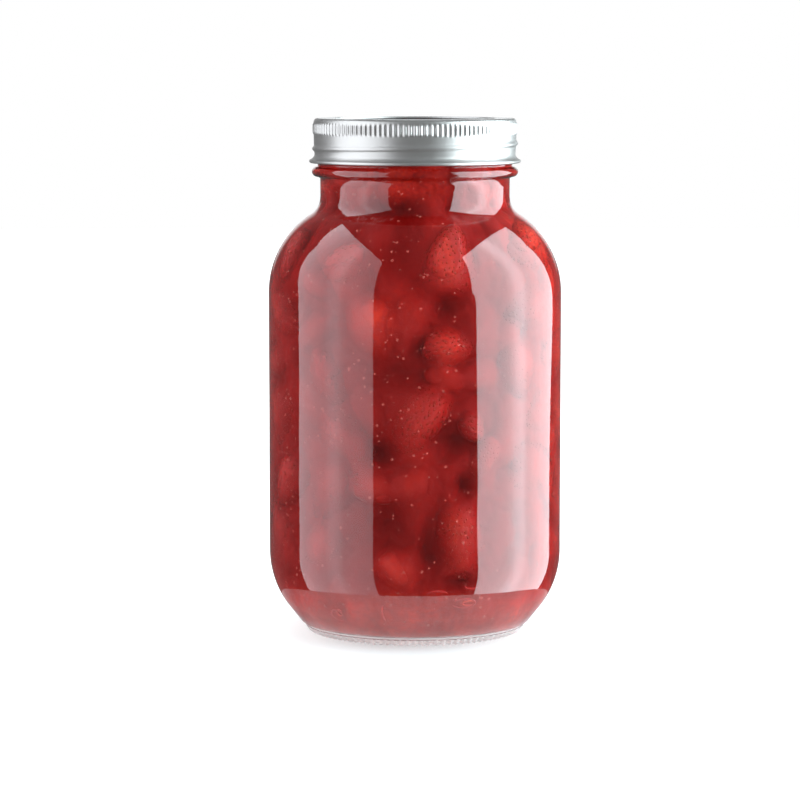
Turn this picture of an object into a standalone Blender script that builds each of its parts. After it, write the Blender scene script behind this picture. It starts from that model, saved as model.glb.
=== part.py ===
"""Glass preserving jar with a two-piece metal closure, packed with strawberries in syrup.

Metres, +Z up. The origin is the centre of the circle that the jar stands on.
"""

import math
import random

import bmesh
import bpy
from mathutils import Matrix, Vector

MM = 0.001
JAR_COLUMNS = 36
LID_COLUMNS = 40
MERGE = 0.00001
CLEARANCE = 0.3 * MM

# Glass jar, outside
BODY_RADIUS = 50.0 * MM
RING_RADIUS = 36.2 * MM
RING_WIDTH = 2.4 * MM
RING_EDGE = 0.5 * MM
PUSH_UP_START = 32.2 * MM
PUSH_UP_STEP = 1.3 * MM
PUSH_UP_RADIUS = 21.7 * MM
PUSH_UP = 2.2 * MM
PUSH_UP_CENTRE = 2.5 * MM
HEEL_START = 27.9 * MM
HEEL_RADIUS = 31.7 * MM
HEEL_SWEEP = math.radians(34.2)
SHOULDER_START = 116.2 * MM
SHOULDER_RADIUS = 31.7 * MM
SHOULDER_SWEEP = math.radians(57.4)
FILLET_RADIUS = 6.5 * MM
FILLET_DRAFT = math.radians(3.3)
NECK_RADIUS = 32.3 * MM
BEAD_CENTRE = 157.4 * MM
BEAD_RADIUS = 1.7 * MM
BEAD_REACH = 35.1 * MM
BEAD_HALF_SWEEP = math.radians(95.0)
BEAD_FOOT = 0.5 * MM
FINISH_RADIUS = 33.1 * MM
JAR_TOP = 173.8 * MM
LIP_RADIUS = 0.8 * MM

# Glass jar, inside
BODY_WALL = 2.7 * MM
NECK_BORE = 29.6 * MM
FLOOR_HEIGHT = 3.4 * MM
FLOOR_RADIUS = 30.0 * MM
FLOOR_DOME_RADIUS = 18.0 * MM
FLOOR_DOME = 1.0 * MM
FLOOR_CENTRE = 1.6 * MM
FLOOR_CORNER = (35.2 * MM, 5.4 * MM)
INNER_HEEL_RADIUS = 27.0 * MM
INNER_HEEL_SWEEP = math.radians(42.0)

# Screw band
LID_TOP = 175.5 * MM
BAND_SHEET = 0.6 * MM
BAND_RADIUS = 34.5 * MM
BAND_CORNER = 1.3 * MM
BAND_DRAFT = 0.1 * MM
FLANGE_BORE = 27.5 * MM
SKIRT_RADIUS = 34.7 * MM
GROOVE_RADIUS = 34.2 * MM
GROOVE_HEIGHT = 163.4 * MM
GROOVE_RISE = 2.4 * MM
SKIRT_HEIGHT = 162.2 * MM
CURL_CENTRE = 160.95 * MM
CURL_RADIUS = 0.6 * MM
CURL_REACH = 36.05 * MM
CURL_START = math.radians(110.0)
CURL_END = math.radians(-140.0)

# Knurls and thread on the screw band
KNURL_COUNT = 120
KNURL_LOW = 169.0 * MM
KNURL_HIGH = 173.6 * MM
KNURL_RISE = 0.5 * MM
KNURL_HALF_WIDTH = 0.5 * MM
THREAD_LOW = 164.8 * MM
THREAD_PITCH = 3.8 * MM
THREAD_START = math.radians(150.0)
THREAD_TURNS = 1.05
THREAD_SECTION = 0.75 * MM
THREAD_CENTRE = 34.65 * MM
THREAD_POINTS = 28
THREAD_TAPER = 4
THREAD_TIP = 0.45

# Flat lid inside the band
DISC_RADIUS = 33.3 * MM
DISC_SHEET = 0.5 * MM
PANEL_RADIUS = 26.6 * MM
PANEL_DROP = 0.7 * MM
PANEL_SLOPE = 0.7 * MM
PANEL_INSET = 0.3 * MM

# Strawberries
CORE_INSET = 9.0 * MM
CORE_SIDES = 14
CORE_HEIGHTS = [height * MM for height in (150, 141, 134, 126, 114, 90, 60, 30, 16)]
CORE_FOOT_RISE = 2.0 * MM
CORE_FOOT_SHARES = (0.62, 0.5)
HEAP_BOTTOM = 5.6 * MM
HEAP_TOP = 166.0 * MM
HEAP_GAP = 0.7 * MM
NECK_FOOT = 140.5 * MM
NECK_BEND = 9.0 * MM
BERRY_SIDES = 6
BERRY_RINGS = 5
BERRY_TAPER = 0.38
BERRY_SINK = 0.42
BERRY_ROOM = 0.5
BERRY_WIDTHS = (15.0, 21.0)
BERRY_STRETCH = (1.1, 1.45)
BERRY_DEPTHS = (0.2, 2.5)
BERRY_LEAN = 90.0
ROW_HEIGHTS = [height * MM for height in (17, 36, 55, 74, 93, 111, 128, 156)]
ROW_SPACING = 26.0 * MM
ROW_SCATTER = 4.0
TURN_SCATTER = 0.2
BERRY_SEED = 7

# azimuth from the front in degrees, height, length, width in millimetres,
# lean of the tip in degrees, and how deep the widest point lies behind the wall
FRONT_BERRIES = (
    (14, 129, 24, 17, -20, 0.5),
    (-18, 108, 22, 18, 25, 0.5),
    (1, 114, 16, 13, 0, 4.0),
    (17, 101, 18, 15, 80, 0.5),
    (12, 91, 15, 13, 60, 3.0),
    (4, 78, 24, 15, -18, 0.5),
    (3, 54, 18, 15, 10, 2.5),
    (-19, 55, 18, 16, 70, 1.0),
    (25, 73, 13, 11, 30, 1.0),
    (40, 64, 18, 14, -30, 1.0),
    (20, 36, 27, 16, 8, 0.5),
    (-9, 27, 18, 16, 40, 0.5),
)


def clear_scene():
    for obj in list(bpy.data.objects):
        bpy.data.objects.remove(obj, do_unlink=True)
    for collection in list(bpy.data.collections):
        bpy.data.collections.remove(collection)


def new_collection(name):
    collection = bpy.data.collections.new(name)
    bpy.context.scene.collection.children.link(collection)
    return collection


def material(name, colour, roughness, metallic=0.0, transmission=0.0):
    surface = bpy.data.materials.new(name)
    surface.use_nodes = True
    shader = surface.node_tree.nodes["Principled BSDF"]
    shader.inputs["Base Color"].default_value = (*colour, 1.0)
    shader.inputs["Roughness"].default_value = roughness
    shader.inputs["Metallic"].default_value = metallic
    shader.inputs["Transmission Weight"].default_value = transmission
    return surface


def arc(centre, radius, start, end, steps):
    """Points (radius, height) on an arc; angles run from +X towards +Z."""
    points = []
    for step in range(steps + 1):
        angle = start + (end - start) * step / steps
        points.append((centre[0] + radius * math.cos(angle), centre[1] + radius * math.sin(angle)))
    return points


def turned(name, outline, closed, columns):
    """Turn an outline about Z. It runs down the outer side, so that the faces point out."""
    mesh = bpy.data.meshes.new(name)
    edges = [(index, index + 1) for index in range(len(outline) - 1)]
    if closed:
        edges.append((len(outline) - 1, 0))
    mesh.from_pydata([(radius, 0.0, height) for radius, height in outline], edges, [])
    obj = bpy.data.objects.new(name, mesh)
    screw = obj.modifiers.new("turn", "SCREW")
    screw.steps = columns
    screw.render_steps = columns
    screw.use_merge_vertices = True
    screw.merge_threshold = MERGE
    screw.use_smooth_shade = True
    return obj


def evaluated_mesh(obj):
    bpy.context.view_layer.update()
    depsgraph = bpy.context.evaluated_depsgraph_get()
    return bpy.data.meshes.new_from_object(obj.evaluated_get(depsgraph))


def apply_modifiers(obj):
    mesh = evaluated_mesh(obj)
    obj.modifiers.clear()
    obj.data = mesh


def join_collection(obj, collection, solver):
    """Unite everything in the collection with the object, then remove the collection."""
    union = obj.modifiers.new("join", "BOOLEAN")
    union.operation = "UNION"
    union.operand_type = "COLLECTION"
    union.collection = collection
    union.solver = solver
    apply_modifiers(obj)
    for piece in list(collection.objects):
        bpy.data.objects.remove(piece, do_unlink=True)
    bpy.data.collections.remove(collection)


def largest_body(obj):
    """Drop any loose scrap that the union leaves."""
    bm = bmesh.new()
    bm.from_mesh(obj.data)
    bmesh.ops.remove_doubles(bm, verts=bm.verts, dist=MERGE)
    unseen = set(bm.verts)
    bodies = []
    while unseen:
        front = [unseen.pop()]
        body = set(front)
        while front:
            vert = front.pop()
            for edge in vert.link_edges:
                other = edge.other_vert(vert)
                if other in unseen:
                    unseen.remove(other)
                    body.add(other)
                    front.append(other)
        bodies.append(body)
    bodies.sort(key=len, reverse=True)
    scraps = [vert for body in bodies[1:] for vert in body]
    bmesh.ops.delete(bm, geom=scraps, context="VERTS")
    bm.to_mesh(obj.data)
    bm.free()


# --- Outlines -----------------------------------------------------------------------------

def heel_points(body_radius, radius, sweep, steps):
    """The rounded heel, from the wall down to where it turns straight."""
    return arc((body_radius - radius, HEEL_START), radius, 0.0, -sweep, steps)


def shoulder_points(body_radius, radius, fillet, neck_radius, steps):
    """From the neck down: the fillet under it, then the shoulder to the wall."""
    centre = (body_radius - radius, SHOULDER_START)
    shoulder = arc(centre, radius, SHOULDER_SWEEP, 0.0, steps)
    reach = radius + fillet
    fillet_centre = (
        centre[0] + reach * math.cos(SHOULDER_SWEEP),
        centre[1] + reach * math.sin(SHOULDER_SWEEP),
    )
    start = math.pi + FILLET_DRAFT
    end = math.pi + SHOULDER_SWEEP
    bend = arc(fillet_centre, fillet, start, end, 3)
    top = (neck_radius, bend[0][1] + 1.0 * MM)
    return [top] + bend[:-1] + shoulder


def outer_outline():
    """Outside of the glass, from the lip down to the centre of its underside."""
    lip = arc((FINISH_RADIUS - LIP_RADIUS, JAR_TOP - LIP_RADIUS), LIP_RADIUS, math.pi / 2, 0.0, 1)
    ring_centre = (BEAD_REACH - BEAD_RADIUS, BEAD_CENTRE)
    bead = arc(ring_centre, BEAD_RADIUS, BEAD_HALF_SWEEP, -BEAD_HALF_SWEEP, 5)
    neck = [(NECK_RADIUS, bead[-1][1] - BEAD_FOOT)]
    shoulder = shoulder_points(BODY_RADIUS, SHOULDER_RADIUS, FILLET_RADIUS, NECK_RADIUS, 6)
    heel = heel_points(BODY_RADIUS, HEEL_RADIUS, HEEL_SWEEP, 5)
    ring = [
        (RING_RADIUS + RING_EDGE, RING_EDGE),
        (RING_RADIUS, 0.0),
        (RING_RADIUS - RING_WIDTH, 0.0),
    ]
    underside = [
        (PUSH_UP_START, PUSH_UP_STEP),
        (PUSH_UP_RADIUS, PUSH_UP),
        (0.0, PUSH_UP_CENTRE),
    ]
    finish = [(FINISH_RADIUS, bead[0][1] + BEAD_FOOT)]
    return lip + finish + bead + neck + shoulder + heel + ring + underside


def inner_outline():
    """Inside of the glass, from the centre of its floor up to the lip."""
    wall = BODY_RADIUS - BODY_WALL
    heel = heel_points(wall, INNER_HEEL_RADIUS, INNER_HEEL_SWEEP, 4)
    floor = [
        (0.0, FLOOR_HEIGHT + FLOOR_CENTRE),
        (FLOOR_DOME_RADIUS, FLOOR_HEIGHT + FLOOR_DOME),
        (FLOOR_RADIUS, FLOOR_HEIGHT),
        FLOOR_CORNER,
    ]
    shoulder = shoulder_points(
        wall, SHOULDER_RADIUS - BODY_WALL, FILLET_RADIUS + BODY_WALL, NECK_BORE, 5
    )
    mouth = arc((NECK_BORE + LIP_RADIUS, JAR_TOP - LIP_RADIUS), LIP_RADIUS, math.pi, math.pi / 2, 1)
    return floor + heel[::-1] + shoulder[::-1] + mouth


def inner_radius(height):
    """Radius of the inside of the glass at a height between its floor and its mouth."""
    side = inner_outline()[2:]
    for (low_radius, low), (high_radius, high) in zip(side, side[1:]):
        if low <= height < high:
            share = (height - low) / (high - low)
            return low_radius + share * (high_radius - low_radius)
    return NECK_BORE


# --- Jar and closure ----------------------------------------------------------------------

def make_jar():
    return turned("jar", inner_outline() + outer_outline(), False, JAR_COLUMNS)


def band_outline():
    """The pressed sheet of the band: over its flange, down outside, round the curl and up inside."""
    corner_centre = (BAND_RADIUS - BAND_CORNER, LID_TOP - BAND_CORNER)
    corner = arc(corner_centre, BAND_CORNER, math.pi / 2, 0.0, 3)
    curl_centre = (CURL_REACH - CURL_RADIUS, CURL_CENTRE)
    curl = arc(curl_centre, CURL_RADIUS, CURL_START, CURL_END, 5)
    outside = [
        (FLANGE_BORE, LID_TOP),
        *corner,
        (BAND_RADIUS, KNURL_LOW),
        (BAND_RADIUS - BAND_DRAFT, GROOVE_HEIGHT + GROOVE_RISE),
        (GROOVE_RADIUS, GROOVE_HEIGHT),
        (SKIRT_RADIUS, SKIRT_HEIGHT),
    ]
    lining = BAND_RADIUS - BAND_SHEET
    inner_corner = LID_TOP - BAND_SHEET
    inside = [
        (lining, CURL_CENTRE + CURL_RADIUS),
        (lining - BAND_DRAFT, GROOVE_HEIGHT),
        (lining, inner_corner - BAND_SHEET),
        (lining - BAND_SHEET, inner_corner),
        (FLANGE_BORE, inner_corner),
    ]
    return outside + curl + inside


def add_knurls(collection):
    """Upright ridges, each a thin diamond prism half sunk in the sheet."""
    bm = bmesh.new()
    height = KNURL_HIGH - KNURL_LOW
    for index in range(KNURL_COUNT):
        angle = 2 * math.pi * (index + 0.5) / KNURL_COUNT
        place = (
            Matrix.Rotation(angle, 4, "Z")
            @ Matrix.Translation((BAND_RADIUS, 0.0, (KNURL_LOW + KNURL_HIGH) / 2))
            @ Matrix.Diagonal((KNURL_RISE, KNURL_HALF_WIDTH, 1.0, 1.0))
        )
        bmesh.ops.create_cone(
            bm, cap_ends=True, segments=4, radius1=1.0, radius2=1.0, depth=height, matrix=place
        )
    mesh = bpy.data.meshes.new("knurls")
    bm.to_mesh(mesh)
    bm.free()
    collection.objects.link(bpy.data.objects.new("knurls", mesh))


def add_thread(collection):
    """The rolled thread: a rounded bead that climbs once round the band and fades at both ends."""
    curve = bpy.data.curves.new("thread", "CURVE")
    curve.dimensions = "3D"
    curve.bevel_depth = THREAD_SECTION
    curve.bevel_resolution = 1
    curve.use_fill_caps = True
    spline = curve.splines.new("POLY")
    spline.points.add(THREAD_POINTS - 1)
    for index, point in enumerate(spline.points):
        turn = THREAD_TURNS * index / (THREAD_POINTS - 1)
        angle = THREAD_START + 2 * math.pi * turn
        fade = min(1.0, (index + 1) / THREAD_TAPER, (THREAD_POINTS - index) / THREAD_TAPER)
        radius = THREAD_CENTRE - (1.0 - fade) * THREAD_TIP * THREAD_SECTION
        height = THREAD_LOW + THREAD_PITCH * turn
        point.co = (radius * math.cos(angle), radius * math.sin(angle), height, 1.0)
        point.radius = THREAD_TIP + (1.0 - THREAD_TIP) * fade
    guide = bpy.data.objects.new("thread", curve)
    collection.objects.link(guide)
    mesh = evaluated_mesh(guide)
    bm = bmesh.new()
    bm.from_mesh(mesh)
    bmesh.ops.remove_doubles(bm, verts=bm.verts, dist=MERGE)
    bm.to_mesh(mesh)
    bm.free()
    bead = bpy.data.objects.new("thread_bead", mesh)
    bead.matrix_world = guide.matrix_world
    collection.objects.link(bead)
    bpy.data.objects.remove(guide, do_unlink=True)


def make_band(part):
    band = turned("screw_band", band_outline(), True, LID_COLUMNS)
    part.objects.link(band)
    details = new_collection("band_details")
    add_knurls(details)
    add_thread(details)
    join_collection(band, details, "MANIFOLD")
    return band


def make_disc():
    """The flat lid: a rim that seals on the lip, and a panel that stands a little lower."""
    top = LID_TOP - BAND_SHEET - CLEARANCE
    low = top - PANEL_DROP
    outline = [
        (0.0, low),
        (PANEL_RADIUS - PANEL_SLOPE, low),
        (PANEL_RADIUS, top),
        (DISC_RADIUS, top),
        (DISC_RADIUS, top - DISC_SHEET),
        (PANEL_RADIUS + PANEL_INSET, top - DISC_SHEET),
        (PANEL_RADIUS - PANEL_SLOPE + PANEL_INSET, low - DISC_SHEET),
        (0.0, low - DISC_SHEET),
    ]
    return turned("lid_disc", outline, False, LID_COLUMNS)


# --- Strawberries -------------------------------------------------------------------------

def core_outline():
    """A smooth core, a berry's depth inside the glass and tucked in towards the floor."""
    side = [(inner_radius(height) - CORE_INSET, height) for height in [HEAP_TOP, *CORE_HEIGHTS]]
    high, low = CORE_FOOT_SHARES
    foot = [
        (high * side[-1][0], HEAP_BOTTOM + CORE_FOOT_RISE),
        (low * side[-1][0], HEAP_BOTTOM),
    ]
    return [(0.0, HEAP_TOP)] + side + foot + [(0.0, HEAP_BOTTOM)]


def berry_object(name, azimuth, height, length, width, lean, depth):
    """One strawberry against the glass, with its broad end away from the lean of its tip."""
    bm = bmesh.new()
    bmesh.ops.create_uvsphere(bm, u_segments=BERRY_SIDES, v_segments=BERRY_RINGS, radius=0.5)
    for vert in bm.verts:
        slim = 1.0 - BERRY_TAPER * (0.5 - vert.co.z)
        vert.co = Vector((vert.co.x * width * slim, vert.co.y * width * slim, vert.co.z * length))
    distance = inner_radius(height) - HEAP_GAP - depth - BERRY_SINK * width
    place = (
        Matrix.Rotation(azimuth - math.pi / 2, 4, "Z")
        @ Matrix.Translation((distance, 0.0, height))
        @ Matrix.Rotation(lean, 4, "X")
    )
    bmesh.ops.transform(bm, matrix=place, verts=bm.verts)
    in_neck = height > NECK_FOOT
    bottom = NECK_FOOT + NECK_BEND if in_neck else HEAP_BOTTOM
    top = HEAP_TOP - CLEARANCE if in_neck else NECK_FOOT
    for vert in bm.verts:
        vert.co.z = min(max(vert.co.z, bottom), top)
        limit = inner_radius(vert.co.z) - HEAP_GAP
        radius = math.hypot(vert.co.x, vert.co.y)
        if radius > limit:
            vert.co.x *= limit / radius
            vert.co.y *= limit / radius
    mesh = bpy.data.meshes.new(name)
    bm.to_mesh(mesh)
    bm.free()
    return bpy.data.objects.new(name, mesh)


def berry_plan():
    """The named berries at the front, then rows of them round the rest of the jar."""
    plan = []
    for azimuth, height, length, width, lean, depth in FRONT_BERRIES:
        size = (height * MM, length * MM, width * MM)
        plan.append((math.radians(azimuth), *size, math.radians(lean), depth * MM))
    draw = random.Random(BERRY_SEED)
    for height in ROW_HEIGHTS:
        room = inner_radius(height)
        count = int(2 * math.pi * room / ROW_SPACING)
        turn = draw.uniform(0, 2 * math.pi)
        for index in range(count):
            shift = draw.uniform(-TURN_SCATTER, TURN_SCATTER)
            azimuth = turn + 2 * math.pi * (index + shift) / count
            width = draw.uniform(*BERRY_WIDTHS) * MM
            length = width * draw.uniform(*BERRY_STRETCH)
            lean = math.radians(draw.uniform(-BERRY_LEAN, BERRY_LEAN))
            level = height + draw.uniform(-ROW_SCATTER, ROW_SCATTER) * MM
            berry = (azimuth, level, length, width, lean, draw.uniform(*BERRY_DEPTHS) * MM)
            if all(apart(berry, other) for other in plan):
                plan.append(berry)
    return plan


def apart(one, other):
    """Whether two berries lie far enough apart round the wall not to swallow each other."""
    turn = (one[0] - other[0] + math.pi) % (2 * math.pi) - math.pi
    across = turn * inner_radius(one[1])
    return math.hypot(across, one[1] - other[1]) > BERRY_ROOM * (one[3] + other[3])


def make_strawberries(part):
    core = turned("strawberries", core_outline(), False, CORE_SIDES)
    part.objects.link(core)
    apply_modifiers(core)
    berries = new_collection("berries")
    for index, berry in enumerate(berry_plan()):
        berries.objects.link(berry_object("berry_%d" % index, *berry))
    join_collection(core, berries, "MANIFOLD")
    largest_body(core)
    return core


def finish_surface(obj, surface, sharp_degrees):
    obj.data.materials.clear()
    obj.data.materials.append(surface)
    obj.data.shade_smooth()
    if not obj.modifiers:
        obj.data.set_sharp_from_angle(angle=math.radians(sharp_degrees))


def main():
    clear_scene()
    part = new_collection("preserving_jar")
    glass = material("glass", (0.93, 0.96, 0.94), 0.03, transmission=1.0)
    steel = material("tinplate", (0.78, 0.78, 0.79), 0.32, metallic=1.0)
    lacquer = material("lid_metal", (0.80, 0.80, 0.80), 0.28, metallic=1.0)
    fruit = material("strawberry", (0.42, 0.02, 0.015), 0.35)

    jar = make_jar()
    part.objects.link(jar)
    finish_surface(jar, glass, 40)
    band = make_band(part)
    finish_surface(band, steel, 35)
    disc = make_disc()
    part.objects.link(disc)
    finish_surface(disc, lacquer, 35)
    heap = make_strawberries(part)
    finish_surface(heap, fruit, 60)


main()
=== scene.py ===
"""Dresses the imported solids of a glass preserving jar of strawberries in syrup."""

import math
import random

import bmesh
import bpy
import numpy as np
from bpy.props import FloatProperty, FloatVectorProperty, IntProperty, PointerProperty
from mathutils import Matrix, Vector, noise


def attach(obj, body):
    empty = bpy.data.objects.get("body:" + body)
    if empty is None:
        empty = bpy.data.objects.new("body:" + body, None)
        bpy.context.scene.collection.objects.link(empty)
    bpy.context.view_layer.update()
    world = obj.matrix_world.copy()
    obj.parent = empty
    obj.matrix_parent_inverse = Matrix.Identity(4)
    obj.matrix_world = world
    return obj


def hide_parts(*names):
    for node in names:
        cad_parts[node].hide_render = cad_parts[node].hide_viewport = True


bl_info = {
    "name": "Strawberry Preserving Jar",
    "version": (1, 0, 0),
    "blender": (4, 5, 0),
    "location": "3D View > Sidebar > Preserving Jar",
    "description": "Glass, lid, fruit and syrup of a preserving jar",
    "category": "Object",
}

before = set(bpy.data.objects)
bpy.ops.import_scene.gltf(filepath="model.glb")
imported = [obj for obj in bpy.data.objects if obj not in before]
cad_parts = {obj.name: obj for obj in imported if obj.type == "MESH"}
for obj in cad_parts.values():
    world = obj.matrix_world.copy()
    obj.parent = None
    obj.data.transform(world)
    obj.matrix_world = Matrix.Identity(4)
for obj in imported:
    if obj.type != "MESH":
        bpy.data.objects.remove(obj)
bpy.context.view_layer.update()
MM = 0.001

# Glass
BODY_RADIUS = 50.0 * MM
RING_RADIUS = 36.2 * MM
RING_WIDTH = 2.4 * MM
HEEL_START = 27.9 * MM
HEEL_RADIUS = 31.7 * MM
HEEL_SWEEP = math.radians(34.2)
SHOULDER_START = 116.2 * MM
SHOULDER_RADIUS = 31.7 * MM
SHOULDER_SWEEP = math.radians(57.4)
FILLET_RADIUS = 6.5 * MM
FILLET_DRAFT = math.radians(3.3)
NECK_RADIUS = 32.3 * MM
BEAD_CENTRE = 157.4 * MM
BEAD_RADIUS = 1.7 * MM
BEAD_REACH = 35.1 * MM
FINISH_RADIUS = 33.1 * MM
JAR_TOP = 173.8 * MM
LIP_RADIUS = 0.8 * MM
BODY_WALL = 2.7 * MM
NECK_BORE = 29.6 * MM
INNER_HEEL_RADIUS = 27.0 * MM
INNER_HEEL_SWEEP = math.radians(42.0)
GLASS_COLUMNS = 480
GLASS_STEP = 6.0 * MM
WAVE_DEPTH = 0.10 * MM
WAVE_LENGTH = 30.0
STIPPLE_COUNT = 96
STIPPLE_TOP = 1.6 * MM
STIPPLE_BORE = 33.0 * MM
STIPPLE_DEPTH = 0.45 * MM
PRESSED_TOP = 3.2 * MM
PRESSED_LINES = (PRESSED_TOP + 0.03 * MM, PRESSED_TOP - 1.1 * MM)
PRESSED_HALF_LINE = 0.13 * MM

# Radius and height in millimetres: the pressed edge from the ring's radius and the pressed top,
# the ring's outer side from its radius, the hollow under the jar and the floor inside
PRESSED_EDGE = ((3.1, 0.35), (2.6, 0.15), (2.5, -0.1), (1.9, -0.7), (1.4, -1.0), (1.5, -1.2))
RING_SIDE = ((1.3, 1.5), (0.9, 0.9), (0.5, 0.4), (-0.1, 0.0))
UNDERSIDE = ((32.6, 0.7), (32.0, 1.3), (28.0, 1.8), (21.7, 2.2), (10.0, 2.4), (0.0, 2.5))
GLASS_FLOOR = (
    (0.0, 5.0), (10.0, 4.85), (18.0, 4.4), (24.0, 3.8), (30.0, 3.55), (33.0, 4.2), (35.4, 5.4),
)

# Screw band
LID_TOP = 175.5 * MM
BAND_SHEET = 0.6 * MM
BAND_RADIUS = 34.5 * MM
BAND_CORNER = 1.3 * MM
FLANGE_BORE = 27.5 * MM
SKIRT_RADIUS = 34.7 * MM
GROOVE_RADIUS = 34.2 * MM
GROOVE_HEIGHT = 163.4 * MM
SKIRT_HEIGHT = 162.2 * MM
CURL_CENTRE = 160.95 * MM
CURL_RADIUS = 0.6 * MM
CURL_REACH = 36.05 * MM
KNURL_LOW = 170.3 * MM
KNURL_HIGH = 173.6 * MM
KNURL_RISE = 0.36 * MM
KNURL_COLUMNS = 8
THREAD_LOW = 164.8 * MM
THREAD_PITCH = 3.8 * MM
THREAD_START = math.radians(150.0)
THREAD_TURNS = 1.05
THREAD_RISE = 0.7 * MM
THREAD_HALF_HEIGHT = 1.1 * MM
BAND_ROUGHNESS = 0.38
TOP_COLOUR = (0.82, 0.82, 0.82)
TOP_ROUGHNESS = 0.26

# Fruit
HEAP_BOTTOM = 5.6 * MM
HEAP_TOP = 166.0 * MM
HEAP_GAP = 0.7 * MM
MUSH_GAP = HEAP_GAP + 0.3 * MM
MUSH_BOTTOM = 4.3 * MM
NECK_FOOT = 140.5 * MM
NECK_BEND = 9.0 * MM
BERRY_TAPER = 0.38
BERRY_SINK = 0.42
BERRY_ROOM = 0.5
BERRY_BARE = 0.93
BERRY_WIDTHS = (15.0, 21.0)
BERRY_STRETCH = (1.1, 1.45)
BERRY_DEPTHS = (0.2, 2.5)
BERRY_LEAN = 90.0
ROW_HEIGHTS = [height * MM for height in (17, 36, 55, 74, 93, 111, 128, 156)]
ROW_SPACING = 26.0 * MM
ROW_SCATTER = 4.0
TURN_SCATTER = 0.2
BERRY_SEED = 7
OTHER_TINTS = (0.1, 0.5)
# Painted light: berries in the neck are painted paler against the shade of the band
NECK_PAINTED_LIGHT = 0.2
SOFT_FOOT = 24.0 * MM

# Azimuth from the front in degrees, height, length, width in millimetres,
# lean of the tip in degrees, and how deep the widest point lies behind the wall
FRONT_BERRIES = (
    (16, 128.5, 25, 21, 160, 0.3),
    (-18, 108, 24, 22, 10, 0.3),
    (1, 113, 14, 11, 70, 3.0),
    (14, 101, 18, 17, 80, 0.5),
    (13, 91, 15, 12, 60, 2.5),
    (2, 77, 27, 20, -30, 0.5),
    (3, 54, 17, 15, 10, 3.0),
    (-18, 54, 18, 14, 70, 1.5),
    (25, 74, 12, 10, 30, 1.0),
    (30, 64, 15, 11, -30, 1.0),
    (20, 36, 29, 18, 8, 0.5),
    (-8, 27, 17, 15, 40, 1.0),
)
FRONT_TINTS = (0.34, 0.7, 0.55, 0.55, 0.45, 0.35, 0.4, 0.35, 0.4, 0.6, 0.65, 0.4)
SMOOTH_BERRIES = (1, 2, 4, 6, 7, 11)

# Hollows in the fruit at the front, also painted darker there as shade: azimuth in degrees, then
# height, width and height across in millimetres
FRONT_HOLLOWS = (
    (12, 114, 8, 9),
    (3, 101, 9, 8),
    (-5, 93, 16, 9),
    (16, 71, 14, 12),
    (-5, 131, 15, 16),
    (6, 36, 8, 20),
    (-14, 66, 9, 9),
    (18, 23, 12, 5),
    (-14, 143, 26, 9),
    (-12, 43, 14, 14),
    (22, 55, 8, 8),
)
HOLLOW_DEPTH = 3.5 * MM

# Painted light and shade round the jar, for how the softboxes light its sides: azimuth and how much
# paler the fruit is painted there
PAINTED_SIDE_LIGHT = (
    (-80, 0.0), (-70, -0.4), (-55, -0.4), (-45, -0.3), (-22, -0.3),
    (-15, 0.0), (15, 0.0), (25, -0.5), (50, -0.5), (70, 0.8),
)

# Threads and curled shreds of fruit: azimuth, height, half width and half height of the curl,
# start and sweep of the curl, tint, half thickness, and how deep it lies behind the glass
FIBRES = (
    (-38, 11, 2.8, 1.8, 0, 320, 0.0, 0.3, 0.6),
    (-36, 12, 1.4, 1.0, 30, 280, 0.9, 0.3, 0.6),
    (21, 16, 4.5, 1.5, 200, 320, 0.0, 0.3, 0.6),
    (23, 16, 2.4, 0.8, 10, 300, 0.9, 0.3, 0.6),
    (-13, 13, 1.5, 3.0, 120, 120, 0.3, 0.3, 0.8),
    (9, 19, 4.0, 1.5, 20, 140, 0.0, 0.4, 1.4),
    (24, 22, 3.0, 1.2, 190, 130, 0.0, 0.4, 1.4),
)
FIBRE_STEPS = 28
FIBRE_SIDES = 6
MUSH_COLUMNS = 380
MUSH_ROWS = 240
MUSH_DEPTH = 5.5 * MM
MUSH_SCATTER = 1.6 * MM
NECK_RISE = 1.0 * MM
FOOT_RISE = 1.6 * MM
MUSH_BLEND = 1.5 * MM
MUSH_INSET = 0.3 * MM
MUSH_TINT = 0.42
DEEP_ROWS = 12
DEEP_SPACING = 14.0 * MM
DEEP_INSET = 10.0 * MM
DEEP_SCATTER = 0.3
DEEP_WIDTHS = (11.0, 18.0)
DEEP_STRETCH = (1.1, 1.6)
DEEP_DEPTHS = (2.0, 5.0)
# Painted shade: the fruit is painted darker from this depth behind the glass to the next
SHADE_DEPTH_START = 1.0 * MM
SHADE_DEPTH_END = 9.0 * MM
SEED_SPACING = 1.9 * MM
SEED_SIZE = (0.33 * MM, 0.55 * MM, 0.22 * MM)
DIMPLE_RADIUS = 1.0 * MM
DIMPLE_DEPTH = 0.25 * MM
GOLDEN_TURN = math.pi * (3.0 - math.sqrt(5.0))
SYRUP_REACH = 0.2 * MM
SYRUP_COLUMNS = 192
SYRUP_TOP_RINGS = 3
BUBBLE_RADII = (0.2, 0.25, 0.3, 0.38, 0.48)
BUBBLE_HEIGHTS = (8.0, 164.0)
GLASS_INDEX = 1.5
SYRUP_INDEX = 1.39

# Camera, softboxes and surroundings
CAMERA_PLACE = (-0.0051, -1.130, 0.1982)
CAMERA_DIP = math.radians(6.02)
CAMERA_LENS = 148.95
LIGHT_CENTRE = Vector((0.0, 0.0, 0.10))
LIGHT_DISTANCE = 1.4
LEFT_TINT = (0.92, 0.98, 1.04)
RIGHT_TINT = (0.86, 1.0, 1.05)

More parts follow.
